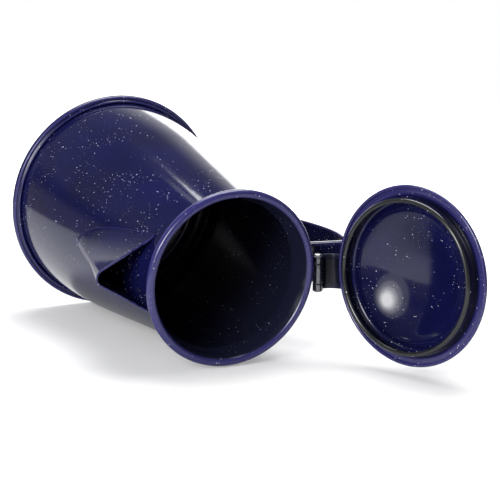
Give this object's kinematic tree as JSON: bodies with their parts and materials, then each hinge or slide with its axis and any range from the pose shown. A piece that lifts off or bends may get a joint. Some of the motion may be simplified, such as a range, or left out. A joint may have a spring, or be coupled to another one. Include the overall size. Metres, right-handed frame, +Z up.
{
  "type": "hinged-lid kettle",
  "caption": "Tapered enamelled steel kettle with a folded pouring spout, a strap handle and a hinged domed lid.",
  "frame": {"origin": "centre of the flat underside of the base, on the kettle's own axis", "axes": "+Z up along the kettle's axis, +X towards the handle and the lid hinge, -X towards the spout"},
  "size_m": [0.2318, 0.16, 0.3119],
  "materials": {
    "enamel": "glossy navy vitreous enamel with fine white specks",
    "hinge_enamel": "glossy dark navy enamel, thin and uneven over the hinge plates",
    "pin_steel": "bare bright steel",
    "collar_edge": "glossy navy enamel with a grey edge where the coat is thin"
  },
  "bodies": {
    "kettle": {"body_shell": "enamel", "base_plate": "enamel", "spout": "enamel", "handle": "enamel", "hinge_bracket": "hinge_enamel", "hinge_pin": "pin_steel"},
    "lid": {"lid_shell": "enamel", "lid_collar": "collar_edge", "lid_knob": "enamel", "hinge_leaf": "hinge_enamel"}
  },
  "joints": [
    {"name": "lid_hinge", "type": "hinge", "parent": "kettle", "child": "lid", "pos_m": [0.069, 0, 0.1962], "axis": [0.0609, -0.9957, 0.0698], "range_deg": [0, 111]}
  ]
}
